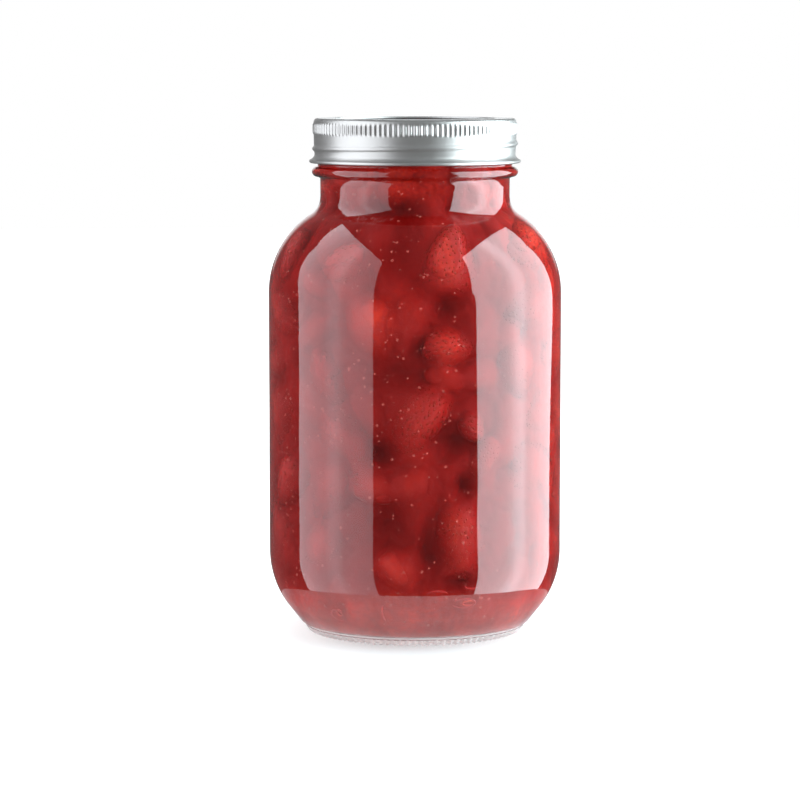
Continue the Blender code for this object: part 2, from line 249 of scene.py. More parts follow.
# Corners of a softbox as azimuth from the front, to the right, and elevation, in degrees
LEFT_MIDDLE = (-72, 5)
LEFT_CORNERS = (
    (-33, -45), (-32, 12), (-31, 42), (-88, 59), (-137, 50),
    (-112, 36), (-109, 20), (-102, 0), (-102, -20), (-106, -45),
)
RIGHT_MIDDLE = (90, 5)
RIGHT_CORNERS = (
    (55, -45), (49, -9), (44, 10), (48, 46), (75, 53), (108, 52),
    (138, 40), (127, 28), (131, 10), (136, -4), (131, -8), (129, -45),
)

# Azimuth in degrees and brightness of a softbox, white being 1
LEFT_GLOW = ((-110, 4.0), (-92, 3.5), (-75, 3.2), (-68, 4.0), (-62, 4.0), (-57, 3.0), (-32, 2.4))
RIGHT_GLOW = ((50, 7.2), (76, 7.8), (86, 10.2), (92, 10.2), (98, 7.6), (110, 6.8), (135, 4.6))
SURROUND = 0.14
STAND_RADIUS = 70.0 * MM

# The painted shadow round the foot, a dip in the floor's glow, is half as wide across as it is from
# front to back
PAINTED_SHADOW_SQUEEZE = (2.0, 1.0, 1.0)

# What every colour that a user can change has in common
COLOUR = {"subtype": "COLOR", "size": 3, "min": 0.0, "max": 1.0}


class JarSettings(bpy.types.PropertyGroup):
    """Colours and amounts that a user would change."""

    glass_colour: FloatVectorProperty(
        name="Glass colour", description="Tint of the glass", default=(0.975, 0.99, 0.98), **COLOUR
    )
    syrup_colour: FloatVectorProperty(
        name="Syrup colour", description="Colour that the syrup lets through",
        default=(0.68, 0.06, 0.04), **COLOUR
    )
    syrup_density: FloatProperty(
        name="Syrup density",
        description="How strongly the syrup absorbs light, for each metre",
        min=0.0,
        default=160.0,
    )
    syrup_level: FloatProperty(
        name="Syrup level",
        description="Height of the syrup's surface above the table",
        subtype="DISTANCE",
        unit="LENGTH",
        default=168.6 * MM,
    )
    fruit_colour: FloatVectorProperty(
        name="Fruit colour", description="Ripe side of a strawberry",
        default=(0.66, 0.048, 0.016), **COLOUR
    )
    # This dark colour also serves as painted shade: deep flesh and pits are blended towards it
    fruit_dark: FloatVectorProperty(
        name="Dark fruit colour", description="Darker strawberries and patches",
        default=(0.32, 0.026, 0.025), **COLOUR
    )
    seed_colour: FloatVectorProperty(
        name="Seed colour", description="Seeds of the strawberries",
        default=(0.21, 0.023, 0.012), **COLOUR
    )
    # The band's sides are painted much darker than the same tinplate on its flange and lid: painted
    # shade
    shaded_band_colour: FloatVectorProperty(
        name="Band colour", description="Satin metal of the screw band",
        default=(0.375, 0.362, 0.352), **COLOUR
    )
    knurl_count: IntProperty(
        name="Knurls",
        description="Number of upright ridges round the screw band",
        min=12,
        default=124,
    )
    bubble_count: IntProperty(
        name="Bubbles",
        description="Number of tiny bubbles in the syrup",
        min=0,
        default=1700,
    )


# --- Shader nodes -------------------------------------------------------------------------

class Value:
    """A shader socket that takes part in sums as a number does."""

    def __init__(self, shading, socket):
        self.shading = shading
        self.socket = socket

    def maths(self, operation, first, second):
        return self.shading.node("ShaderNodeMath", {"operation": operation}, {0: first, 1: second})

    def __add__(self, other):
        return self.maths("ADD", self, other)

    def __radd__(self, other):
        return self.maths("ADD", other, self)

    def __sub__(self, other):
        return self.maths("SUBTRACT", self, other)

    def __rsub__(self, other):
        return self.maths("SUBTRACT", other, self)

    def __mul__(self, other):
        return self.maths("MULTIPLY", self, other)

    def __rmul__(self, other):
        return self.maths("MULTIPLY", other, self)


class Shading:
    """A node tree for one surface, world or light."""

    def __init__(self, tree, kind="ShaderNodeOutputMaterial"):
        self.tree = tree
        self.tree.nodes.clear()
        self.output = self.tree.nodes.new(kind)

    def node(self, kind, settings=None, sockets=None, output=0):
        """Add a node: its settings first, then the values or links of its sockets."""
        made = self.tree.nodes.new(kind)
        for name, value in (settings or {}).items():
            if name == "stops":
                self.set_stops(made.color_ramp, value)
            else:
                setattr(made, name, value)
        for key, value in (sockets or {}).items():
            if isinstance(value, Value):
                self.tree.links.new(value.socket, made.inputs[key])
            else:
                made.inputs[key].default_value = value
        return Value(self, made.outputs[output])

    @staticmethod
    def set_stops(ramp, stops):
        while len(ramp.elements) < len(stops):
            ramp.elements.new(1.0)
        for element, (place, level) in zip(ramp.elements, stops):
            element.position = place
            element.color = (level, level, level, 1.0)

    def noise(self, scale, detail=3.0, roughness=0.5, stretch=(1.0, 1.0, 1.0)):
        """Noise in object space; scale is in cycles for each metre."""
        place = self.node("ShaderNodeTexCoord", output="Object")
        place = self.node("ShaderNodeMapping", sockets={"Vector": place, "Scale": stretch})
        sockets = {"Vector": place, "Scale": scale, "Detail": detail, "Roughness": roughness}
        return self.node("ShaderNodeTexNoise", sockets=sockets)

    def ramp(self, factor, stops):
        """Grey levels along a factor; each stop is its place and its level."""
        return self.node("ShaderNodeValToRGB", {"stops": stops}, {"Fac": factor})

    def blend(self, factor, first, second, mode="MIX"):
        """Mix two colours."""
        settings = {"data_type": "RGBA", "blend_type": mode}
        sockets = {0: factor, 6: first, 7: second}
        return self.node("ShaderNodeMix", settings, sockets, 2)

    def spread(self, value, low, high):
        """Move a value from 0 to 1 into a range."""
        return value * (high - low) + low

    def bump(self, height, strength, distance):
        sockets = {"Height": height, "Strength": strength, "Distance": distance}
        return self.node("ShaderNodeBump", sockets=sockets)

    def principled(self, sockets):
        return self.node("ShaderNodeBsdfPrincipled", sockets=sockets)

    def surface(self, shader):
        self.tree.links.new(shader.socket, self.output.inputs["Surface"])

    def volume(self, shader):
        self.tree.links.new(shader.socket, self.output.inputs["Volume"])

    def lamps_through(self, shader):
        """Let light from lamps reach what is behind a clear surface."""
        clear = self.node("ShaderNodeBsdfTransparent")
        for ray in ("Is Diffuse Ray", "Is Shadow Ray"):
            lamp = self.node("ShaderNodeLightPath", output=ray)
            shader = self.node("ShaderNodeMixShader", sockets={0: lamp, 1: shader, 2: clear})
        return shader


def new_material(name):
    material = bpy.data.materials.new(name)
    material.use_nodes = True
    return material, Shading(material.node_tree)


def rgba(colour):
    return (colour[0], colour[1], colour[2], 1.0)


# --- Materials ----------------------------------------------------------------------------

def glass_material(settings, name, index, clear=1.0):
    """Clear pressed glass, faintly wavy; index is lower where syrup wets it."""
    material, shading = new_material(name)
    waves = shading.noise(38.0, 1.0)
    sockets = {
        "Base Color": rgba(settings.glass_colour),
        "Roughness": 0.3 * (1.0 - clear),
        "IOR": index,
        "Transmission Weight": clear,
        "Normal": shading.bump(waves, 0.25, 0.4 * MM),
    }
    shading.surface(shading.lamps_through(shading.principled(sockets)))
    return material


def syrup_material(settings, name, index):
    """Red syrup; the glass that it wets already bends the light, so index is 1 there."""
    material, shading = new_material(name)
    sockets = {
        "Base Color": (1.0, 0.97, 0.96, 1.0),
        "Roughness": 0.0,
        "IOR": index,
        "Transmission Weight": 1.0,
    }
    shading.surface(shading.lamps_through(shading.principled(sockets)))
    sockets = {"Color": rgba(settings.syrup_colour), "Density": settings.syrup_density}
    shading.volume(shading.node("ShaderNodeVolumeAbsorption", sockets=sockets))
    return material


def metal_material(name, colour, roughness):
    """Satin tinplate with fine wear in its roughness and a faint grain."""
    material, shading = new_material(name)
    cloud = shading.noise(120.0, 4.0, 0.6)
    grain = shading.noise(2400.0, 2.0, 0.6)
    dull = tuple(0.93 * part for part in colour)
    sockets = {
        "Base Color": shading.blend(cloud, rgba(dull), rgba(colour)),
        "Metallic": 0.85,
        "Roughness": shading.spread(cloud, roughness - 0.05, roughness + 0.05),
        "Normal": shading.bump(grain, 0.25, 0.03 * MM),
    }
    shading.surface(shading.principled(sockets))
    return material


def fruit_material(settings):
    """Cooked strawberry flesh: each fruit has its own tint and patches; its tint also holds painted
    light and shade, and deep parts and pits are painted dark as shade.
    """
    material, shading = new_material("fruit")
    # The tint holds each fruit's own tone together with painted light and shade
    tint = shading.node("ShaderNodeAttribute", {"attribute_name": "tint"}, output="Fac")
    patches = shading.noise(110.0, 4.0, 0.6)
    fine = shading.noise(900.0, 3.0, 0.6)
    depth = shading.node("ShaderNodeAttribute", {"attribute_name": "depth"}, output="Fac")
    ripe = rgba(settings.fruit_colour)
    dark = rgba(settings.fruit_dark)
    colour = shading.blend(tint, dark, ripe)
    patch = shading.ramp(patches, [(0.4, 0.0), (0.75, 0.8)])
    # Painted shade: small dark specks stand for the shade in the flesh's pits
    pit_shade = shading.ramp(shading.noise(800.0, 2.0), [(0.4, 0.5), (0.55, 0.0)])
    colour = shading.blend(patch, colour, dark)
    colour = shading.blend(pit_shade, colour, dark)
    # Painted shade: flesh deeper behind the glass is painted darker
    colour = shading.blend(depth, colour, dark)
    sockets = {
        "Base Color": colour,
        "Roughness": shading.spread(fine, 0.28, 0.5),
        "Specular IOR Level": 0.15,
        "Subsurface Weight": 0.7,
        "Subsurface Radius": (1.0, 0.3, 0.2),
        "Subsurface Scale": 3.0 * MM,
        "Normal": shading.bump(fine, 0.4, 0.25 * MM),
    }
    shading.surface(shading.principled(sockets))
    return material


def seed_material(settings):
    material, shading = new_material("seeds")
    cloud = shading.noise(700.0, 2.0)
    light = tuple(min(1.0, 1.6 * part) for part in settings.seed_colour)
    sockets = {
        "Base Color": shading.blend(cloud, rgba(settings.seed_colour), rgba(light)),
        "Roughness": 0.6,
        "Specular IOR Level": 0.15,
    }
    shading.surface(shading.principled(sockets))
    return material


def bubble_material():
    material, shading = new_material("bubbles")
    cloud = shading.noise(900.0, 2.0)
    sockets = {
        # The bubbles are real; their pale pink colour is a painted highlight for the light that
        # they catch
        "Base Color": shading.blend(cloud, (0.60, 0.15, 0.12, 1.0), (0.75, 0.28, 0.23, 1.0)),
        "Roughness": 0.5,
        "Specular IOR Level": 0.2,
        "Alpha": 0.18,
    }
    shading.surface(shading.principled(sockets))
    return material


# --- Mesh helpers -------------------------------------------------------------------------

def new_piece(name, points, faces):
    """A smooth mesh object from points and faces."""
    mesh = bpy.data.meshes.new(name)
    mesh.from_pydata([tuple(point) for point in points], [], faces)
    mesh.update()
    mesh.shade_smooth()
    piece = bpy.data.objects.new(name, mesh)
    bpy.context.scene.collection.objects.link(piece)
    return piece


def dress(piece, *materials):
    for material in materials:
        piece.data.materials.append(material)


def add_layer(piece, name, values):
    """Give each point a value that the shader reads."""
    layer = piece.data.attributes.new(name, "FLOAT", "POINT")
    layer.data.foreach_set("value", np.asarray(values, np.float32))


def arc(centre, radius, start, end, steps):
    """Points (radius, height) on an arc; angles run from +X towards +Z."""
    points = []
    for step in range(steps + 1):
        angle = start + (end - start) * step / steps
        points.append((centre[0] + radius * math.cos(angle), centre[1] + radius * math.sin(angle)))
    return points


def finer(outline, longest):
    """Split the long stretches of an outline."""
    points = [outline[0]]
    for start, end in zip(outline, outline[1:]):
        pieces = max(1, math.ceil(math.dist(start, end) / longest))
        for step in range(1, pieces + 1):
            share = step / pieces
            points.append(tuple(a + share * (b - a) for a, b in zip(start, end)))
    return points


def ring_faces(upper, lower, columns):
    """Faces between two rings of points, each given by the number of its first point."""
    pairs = zip(range(columns), [*range(1, columns), 0])
    return [(upper + at, lower + at, lower + after, upper + after) for at, after in pairs]


def turned(outline, columns, move=None):
    """Points and faces of an outline turned about Z; move(radius, height, angle) shifts a point."""
    points = []
    rings = []
    for radius, height in outline:
        if radius < 1e-7:
            rings.append([len(points)])
            points.append((0.0, 0.0, height))
            continue
        ring = []
        for column in range(columns):
            angle = 2 * math.pi * column / columns
            reach, level = move(radius, height, angle) if move else (radius, height)
            ring.append(len(points))
            points.append((reach * math.cos(angle), reach * math.sin(angle), level))
        rings.append(ring)
    faces = []
    for upper, lower in zip(rings, rings[1:]):
        if len(upper) == len(lower):
            faces += ring_faces(upper[0], lower[0], columns)
            continue
        for column in range(columns):
            after = (column + 1) % columns
            if len(upper) == 1:
                faces.append((upper[0], lower[column], lower[after]))
            else:
                faces.append((upper[column], lower[0], upper[after]))
    return points, faces


def smooth_step(low, high, value):
    share = min(1.0, max(0.0, (value - low) / (high - low)))
    return share * share * (3.0 - 2.0 * share)


# --- Glass outlines -----------------------------------------------------------------------

def heel(body_radius, radius, sweep, steps):
    return arc((body_radius - radius, HEEL_START), radius, 0.0, -sweep, steps)


def shoulder(body_radius, radius, fillet, neck_radius, steps):
    centre = (body_radius - radius, SHOULDER_START)
    curve = arc(centre, radius, SHOULDER_SWEEP, 0.0, steps)
    reach = radius + fillet
    middle = (
        centre[0] + reach * math.cos(SHOULDER_SWEEP),
        centre[1] + reach * math.sin(SHOULDER_SWEEP),
    )
    bend = arc(middle, fillet, math.pi + FILLET_DRAFT, math.pi + SHOULDER_SWEEP, 10)
    top = (neck_radius, bend[0][1] + 1.0 * MM)
    return [top] + bend[:-1] + curve


def from_mm(outline, radius=0.0, height=0.0):
    """An outline given in millimetres from a radius and a height."""
    return [(radius + across * MM, height + up * MM) for across, up in outline]


def outer_outline():
    """Outside of the glass, from the lip down to the centre of its underside."""
    lip = arc((FINISH_RADIUS - LIP_RADIUS, JAR_TOP - LIP_RADIUS), LIP_RADIUS, math.pi / 2, 0.0, 5)
    bead = arc((BEAD_REACH - BEAD_RADIUS, BEAD_CENTRE), BEAD_RADIUS, 1.66, -1.66, 16)
    neck = [(NECK_RADIUS, bead[-1][1] - 0.5 * MM)]
    finish = [(FINISH_RADIUS, bead[0][1] + 0.5 * MM)]
    upper = shoulder(BODY_RADIUS, SHOULDER_RADIUS, FILLET_RADIUS, NECK_RADIUS, 26)
    lower = heel(BODY_RADIUS, HEEL_RADIUS, HEEL_SWEEP, 16)
    ring = from_mm(PRESSED_EDGE, RING_RADIUS, PRESSED_TOP) + from_mm(RING_SIDE, RING_RADIUS)
    ring.append((RING_RADIUS - 0.5 * RING_WIDTH, 0.0))
    ring.append((RING_RADIUS - RING_WIDTH + 0.2 * MM, 0.05 * MM))
    return lip + finish + bead + neck + upper + lower + ring + from_mm(UNDERSIDE)


def inner_outline():
    """Inside of the glass, from the centre of its floor up to the lip."""
    wall = BODY_RADIUS - BODY_WALL
    lower = heel(wall, INNER_HEEL_RADIUS, INNER_HEEL_SWEEP, 14)
    upper = shoulder(
        wall, SHOULDER_RADIUS - BODY_WALL, FILLET_RADIUS + BODY_WALL, NECK_BORE, 22
    )
    mouth = arc((NECK_BORE + LIP_RADIUS, JAR_TOP - LIP_RADIUS), LIP_RADIUS, math.pi, math.pi / 2, 5)
    return from_mm(GLASS_FLOOR) + lower[::-1] + upper[::-1] + mouth


def inner_radius(height):
    """Radius of the inside of the glass at a height between its floor and its mouth."""
    side = inner_outline()[4:]
    for (low_radius, low), (high_radius, high) in zip(side, side[1:]):
        if low <= height < high:
            share = (height - low) / (high - low)
            return low_radius + share * (high_radius - low_radius)
    return NECK_BORE


WALL_HEIGHTS = np.linspace(3.6 * MM, HEAP_TOP, 400)
WALL_RADII = np.array([inner_radius(height) for height in WALL_HEIGHTS])


def wall_radius(heights):
    return np.interp(heights, WALL_HEIGHTS, WALL_RADII)


# --- Pieces -------------------------------------------------------------------------------

def make_glass(settings):
    """The glass: faintly uneven sides, and a ring of small dents under the heel."""
    outer = finer(outer_outline(), GLASS_STEP)
    inner = finer(inner_outline(), GLASS_STEP)

    def move(radius, height, angle):
        if height < STIPPLE_TOP and radius > STIPPLE_BORE:
            knob = STIPPLE_DEPTH * (0.5 - 0.5 * math.cos(STIPPLE_COUNT * angle))
            height += knob
            radius -= knob
        place = Vector((math.cos(angle), math.sin(angle), height / WAVE_LENGTH / MM))
        on_side = smooth_step(12.0 * MM, 30.0 * MM, height)
        on_side *= 1.0 - smooth_step(150.0 * MM, 156.0 * MM, height)
        wave = 0.5 * (noise.noise(place) + 1.0)
        return radius - WAVE_DEPTH * on_side * wave, height

    points, faces = turned(inner + outer, GLASS_COLUMNS, move)
    piece = new_piece("glass_jar", points, faces)
    dress(
        piece,
        glass_material(settings, "glass", GLASS_INDEX),
        glass_material(settings, "wetted_glass", GLASS_INDEX / SYRUP_INDEX),
        glass_material(settings, "pressed_glass", GLASS_INDEX, 0.6),
    )
    inside = (len(inner) - 1) * GLASS_COLUMNS
    middles = np.array([face.center.z for face in piece.data.polygons])
    kinds = 2 * (middles < PRESSED_TOP + 0.3 * MM)
    for line in PRESSED_LINES:
        kinds[np.abs(middles - line) < PRESSED_HALF_LINE] = 0
    kinds[:inside] = middles[:inside] < settings.syrup_level
    piece.data.polygons.foreach_set("material_index", kinds)
    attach(piece, "root")
    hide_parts("jar")


def band_outline():
    """The sheet of the band: over its flange, down outside, round the curl and up inside."""
    corner = arc(
        (BAND_RADIUS - BAND_CORNER, LID_TOP - BAND_CORNER), BAND_CORNER, math.pi / 2, 0.0, 8
    )
    curl = arc((CURL_REACH - CURL_RADIUS, CURL_CENTRE), CURL_RADIUS, 1.92, -2.44, 14)
    outside = [
        (FLANGE_BORE, LID_TOP),
        *corner,
        (BAND_RADIUS, KNURL_LOW),
        (BAND_RADIUS - 0.1 * MM, GROOVE_HEIGHT + 2.4 * MM),
        (GROOVE_RADIUS + 0.06 * MM, GROOVE_HEIGHT + 0.6 * MM),
        (GROOVE_RADIUS, GROOVE_HEIGHT),
        (GROOVE_RADIUS + 0.1 * MM, GROOVE_HEIGHT - 0.6 * MM),
        (SKIRT_RADIUS, SKIRT_HEIGHT),
    ]
    lining = BAND_RADIUS - BAND_SHEET
    inner_corner = LID_TOP - BAND_SHEET
    inside = [
        (lining, CURL_CENTRE + CURL_RADIUS),
        (lining - 0.1 * MM, GROOVE_HEIGHT),
        (lining, inner_corner - BAND_SHEET),
        (lining - BAND_SHEET, inner_corner),
        (FLANGE_BORE, inner_corner),
    ]
    return finer(outside, 0.45 * MM), curl, finer(inside, 3.0 * MM)


def make_band(settings):
    """The screw band with its knurls and rolled thread; its sides are painted darker than its
    flange on top, as painted shade.
    """
    outside, curl, inside = band_outline()
    columns = settings.knurl_count * KNURL_COLUMNS

    def move(radius, height, angle):
        if radius < BAND_RADIUS - 0.32 * MM:
            return radius, height
        on_knurls = smooth_step(KNURL_LOW - 0.2 * MM, KNURL_LOW + 0.2 * MM, height)
        on_knurls *= 1.0 - smooth_step(KNURL_HIGH - 0.1 * MM, KNURL_HIGH + 0.35 * MM, height)
        ridge = 0.5 + 0.5 * math.cos(settings.knurl_count * angle)
        turn = (angle - THREAD_START) % (2 * math.pi) / (2 * math.pi)
        rise = 0.0
        for lap in (turn, turn + 1.0):
            if lap > THREAD_TURNS:
                continue
            fade = smooth_step(0.0, 0.06, lap) * (1.0 - smooth_step(0.97, THREAD_TURNS, lap))
            off = (height - THREAD_LOW - THREAD_PITCH * lap) / THREAD_HALF_HEIGHT
            if abs(off) < 1.0:
                rise = max(rise, fade * THREAD_RISE * math.cos(off * math.pi / 2) ** 1.5)
        return radius + max(KNURL_RISE * on_knurls * ridge, rise), height

    points, faces = turned(outside, columns, move)
    rest, rest_faces = turned(curl[1:] + inside, columns)
    shift = len(points)
    faces += [tuple(index + shift for index in face) for face in rest_faces]
    points += rest
    faces += ring_faces(shift - columns, shift, columns)
    faces += ring_faces(len(points) - columns, 0, columns)
    piece = new_piece("metal_band", points, faces)
    dress(
        piece,
        metal_material("band_metal", settings.shaded_band_colour, BAND_ROUGHNESS),
        metal_material("flange_metal", TOP_COLOUR, TOP_ROUGHNESS),
    )
    for face in piece.data.polygons:
        on_top = face.center.z > LID_TOP - 0.1 * MM
        face.material_index = on_top and face.center.xy.length < BAND_RADIUS - BAND_CORNER
    piece.data.set_sharp_from_angle(angle=math.radians(50.0))
    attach(piece, "root")
    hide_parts("screw_band")


def finish_lid():
    """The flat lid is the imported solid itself, with a metal finish."""
    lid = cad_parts["lid_disc"]
    lid.data.materials.clear()
    dress(lid, metal_material("lid_metal", TOP_COLOUR, TOP_ROUGHNESS))


# --- Strawberries -------------------------------------------------------------------------

def apart(one, other):
    """Whether two berries lie far enough apart round the wall not to swallow each other."""
    turn = (one[0] - other[0] + math.pi) % (2 * math.pi) - math.pi
    across = turn * inner_radius(one[1])
    return math.hypot(across, one[1] - other[1]) > BERRY_ROOM * (one[3] + other[3])


def drawn_berry(draw, azimuth, height, widths, stretch, depths):
    """A berry near an azimuth and a height, with its size, lean and depth drawn at random."""
    width = draw.uniform(*widths) * MM
    length = width * draw.uniform(*stretch)
    lean = math.radians(draw.uniform(-BERRY_LEAN, BERRY_LEAN))
    level = height + draw.uniform(-ROW_SCATTER, ROW_SCATTER) * MM
    return azimuth, level, length, width, lean, draw.uniform(*depths) * MM


def berry_plan():
    """The named berries at the front, then rows of them round the rest of the jar."""
    plan = []
    for azimuth, height, length, width, lean, depth in FRONT_BERRIES:
        size = (height * MM, length * MM, width * MM)
        plan.append((math.radians(azimuth), *size, math.radians(lean), depth * MM))
    draw = random.Random(BERRY_SEED)
    for height in ROW_HEIGHTS:
        room = inner_radius(height)
        count = int(2 * math.pi * room / ROW_SPACING)
        turn = draw.uniform(0, 2 * math.pi)
        for index in range(count):
            shift = draw.uniform(-TURN_SCATTER, TURN_SCATTER)
            azimuth = turn + 2 * math.pi * (index + shift) / count
            ranges = (BERRY_WIDTHS, BERRY_STRETCH, BERRY_DEPTHS)
            berry = drawn_berry(draw, azimuth, height, *ranges)
            if all(apart(berry, other) for other in plan):
                plan.append(berry)
    return plan


def deep_plan():
    """Smaller fruit that fills the gaps behind the berries at the wall."""
    plan = []
    draw = random.Random(BERRY_SEED + 1)
    for row in range(DEEP_ROWS):
        height = HEAP_BOTTOM + (HEAP_TOP - HEAP_BOTTOM) * (row + 0.5) / DEEP_ROWS
        room = inner_radius(height) - DEEP_INSET
        count = int(2 * math.pi * room / DEEP_SPACING)
        for index in range(count):
            shift = draw.uniform(-DEEP_SCATTER, DEEP_SCATTER)
            azimuth = 2 * math.pi * (index + shift) / count
            ranges = (DEEP_WIDTHS, DEEP_STRETCH, DEEP_DEPTHS)
            plan.append(drawn_berry(draw, azimuth, height, *ranges))
    return plan


def unit_ball(level):
    """Points and triangles of an icosphere with radius 1."""
    bm = bmesh.new()
    bmesh.ops.create_icosphere(bm, subdivisions=level, radius=1.0)
    points = np.array([vert.co[:] for vert in bm.verts])
    faces = np.array([[vert.index for vert in face.verts] for face in bm.faces])
    bm.free()
    return points, faces


def berry_shape(unit, berry, shape):
    """Move points of a unit ball on to a berry, still in the berry's own frame."""
    length, width = berry[2:4]
    x, y, z = unit.T
    turn = np.arctan2(y, x)
    slim = 1.0 - BERRY_TAPER * 0.5 * (1.0 - z)
    full = 0.5 * np.sqrt(np.clip(1.0 - z ** 2, 0.0, 1.0))
    bulge = 1.0 + 0.05 * np.sin(2.0 * turn + shape[0])
    bulge += 0.03 * np.sin(3.0 * turn + shape[1])
    bulge += 0.03 * np.sin(4.0 * z + shape[2])
    flat = np.clip(np.hypot(x, y), 1e-6, None)
    reach = full * slim * bulge * width
    crown = 1.0 - 0.12 * np.exp(-((flat / 0.35) ** 2)) * (z > 0)
    return np.stack((x / flat * reach, y / flat * reach, 0.5 * z * crown * length), axis=1)


def berry_place(berry):
    """Where a berry lies: leaning, and against the wall of the glass."""
    azimuth, height, _, width, lean, depth = berry
    distance = inner_radius(height) - HEAP_GAP - depth - BERRY_SINK * width
    return (
        Matrix.Rotation(azimuth - math.pi / 2, 4, "Z")
        @ Matrix.Translation((distance, 0.0, height))
        @ Matrix.Rotation(wall_lean(height), 4, "Y")
        @ Matrix.Rotation(lean, 4, "X")
    )


def wall_lean(height):
    """How far the wall leans in at a height; berries follow it halfway."""
    below, above = wall_radius(np.array([height - 6.0 * MM, height + 6.0 * MM]))
    return -0.8 * math.atan2(below - above, 12.0 * MM)


def moved(points, place):
    matrix = np.array(place)
    return points @ matrix[:3, :3].T + matrix[:3, 3]


def held_in(points, in_neck, gap):
    """Keep points inside the glass, in the body or in the neck."""
    bottom = NECK_FOOT + NECK_BEND if in_neck else HEAP_BOTTOM
    top = HEAP_TOP - 0.3 * MM if in_neck else NECK_FOOT
    points = points.copy()
    points[:, 2] = np.clip(points[:, 2], bottom, top)
    radius = np.hypot(points[:, 0], points[:, 1])
    limit = wall_radius(points[:, 2]) - gap
    share = np.minimum(1.0, limit / np.maximum(radius, 1e-6))
    points[:, :2] *= share[:, None]
    return points


def spiral_spots(count):
    """Evenly spread directions, as seeds are over a strawberry."""
    heights = 1.0 - 2.0 * (np.arange(count) + 0.5) / count
    turns = GOLDEN_TURN * np.arange(count)
    flat = np.sqrt(1.0 - heights ** 2)
    return np.stack((flat * np.cos(turns), flat * np.sin(turns), heights), axis=1)


class Heap:
    """Gathers many small closed bodies into one mesh."""

    def __init__(self):
        self.points = []
        self.faces = []
        self.count = 0
        self.values = {"tint": [], "depth": []}

    def add(self, points, faces, **values):
        self.points.append(points)
        self.faces.append(faces + self.count)
        self.count += len(points)
        for name, value in values.items():
            self.values[name].append(np.broadcast_to(value, len(points)))

    def piece(self, name, slot):
        faces = np.concatenate(self.faces).tolist()
        piece = new_piece(name, np.concatenate(self.points), faces)
        for attribute, parts in self.values.items():
            if parts:
                add_layer(piece, attribute, np.concatenate(parts))
        return piece


def seed_spots(berry, shape, place, in_neck, draw):
    """Where seeds sit on the side of a berry that faces the glass: spot, outward and lengthwise."""
    length, width = berry[2:4]
    area = math.pi * width * length * 0.8
    count = int(area / SEED_SPACING ** 2)
    unit = spiral_spots(count)
    unit += np.array([[draw.uniform(-0.07, 0.07) for _ in range(3)] for _ in range(count)])
    unit /= np.linalg.norm(unit, axis=1)[:, None]
    unit = unit[unit[:, 2] < 0.86]
    spots = held_in(moved(berry_shape(unit, berry, shape), place), in_neck, HEAP_GAP)
    flat = unit * np.array([1.0 / width, 1.0 / width, 1.0 / length])
    outward = flat / np.linalg.norm(flat, axis=1)[:, None]
    turn = np.array(place)[:3, :3]
    outward = outward @ turn.T
    out = spots[:, :2] / np.hypot(spots[:, 0], spots[:, 1])[:, None]
    facing = outward[:, 0] * out[:, 0] + outward[:, 1] * out[:, 1] > 0.1
    return spots[facing], outward[facing], turn[:, 2]


def fruit_field(angle, height, berries):
    """Depth of the soft fruit behind the wall, and its tint, which holds painted light and shade;
    it rises round each berry.
    """
    spots = np.stack((np.cos(angle) * 45.0, np.sin(angle) * 45.0, height / MM), axis=1)
    rough = np.array([noise.noise(Vector(spot) / 9.0) for spot in spots])
    fine = np.array([noise.noise(Vector(spot) / 3.0) for spot in spots])
    in_neck = np.clip((height - NECK_FOOT - 5.0 * MM) / (6.0 * MM), 0.0, 1.0)
    at_foot = np.clip(2.4 - height / (10.0 * MM), 0.0, 1.0)
    deep = MUSH_DEPTH - NECK_RISE * in_neck - FOOT_RISE * at_foot
    weights = np.exp(-(deep + MUSH_SCATTER * (rough + 0.3 * fine)) / MUSH_BLEND)
    total = weights.copy()
    # Painted light: the soft fruit is painted paler in the neck, where the band shades it, and at
    # the foot, which the bright floor lights
    tints = weights * (MUSH_TINT + 0.4 * rough + 0.6 * in_neck + 1.0 * at_foot)
    for (azimuth, level, length, width, lean, depth), tint in berries:
        room = inner_radius(level)
        side = turned_from(angle, azimuth) * (room - 0.35 * width)
        rise = height - level
        along = (rise * math.cos(lean) - side * math.sin(lean)) / (0.5 * length)
        across = (side * math.cos(lean) + rise * math.sin(lean)) / (0.5 * width)
        slim = 1.0 - BERRY_TAPER * 0.5 * (1.0 - np.clip(along, -1.0, 1.0))
        inside = np.clip(slim ** 2 * (1.0 - along ** 2) - across ** 2, 0.0, 1.0)
        middle = HEAP_GAP + depth + BERRY_SINK * width + MUSH_INSET + side ** 2 / (2.0 * room)
        front = np.maximum(middle - 0.5 * width * np.sqrt(inside), HEAP_GAP)
        weight = np.exp(-front / MUSH_BLEND) * np.clip(inside * 8.0, 0.0, 1.0)
        total += weight
        tints += weight * tint
    depths = -MUSH_BLEND * np.log(total)
    around = np.degrees(turned_from(angle, 0.0))
    # Painted light and shade: the fruit is painted paler or darker round the jar as the softboxes
    # light its sides
    shade = tints / total + np.interp(around, *zip(*PAINTED_SIDE_LIGHT))
    for azimuth, level, across, rise in FRONT_HOLLOWS:
        side = turned_from(angle, math.radians(azimuth)) * inner_radius(level * MM)
        up = (height - level * MM) / (0.5 * rise * MM)
        hollow = np.exp(-((side / (0.5 * across * MM)) ** 2 + up ** 2))
        depths += hollow * HOLLOW_DEPTH
        # Painted shade: the fruit is painted darker in each hollow
        shade -= 0.4 * hollow
    return depths, np.clip(shade, 0.0, 1.0)


def turned_from(angle, azimuth):
    """Angle from an azimuth, which counts from the front, to angles that count from +X."""
    return (angle - azimuth + 1.5 * math.pi) % (2 * math.pi) - math.pi


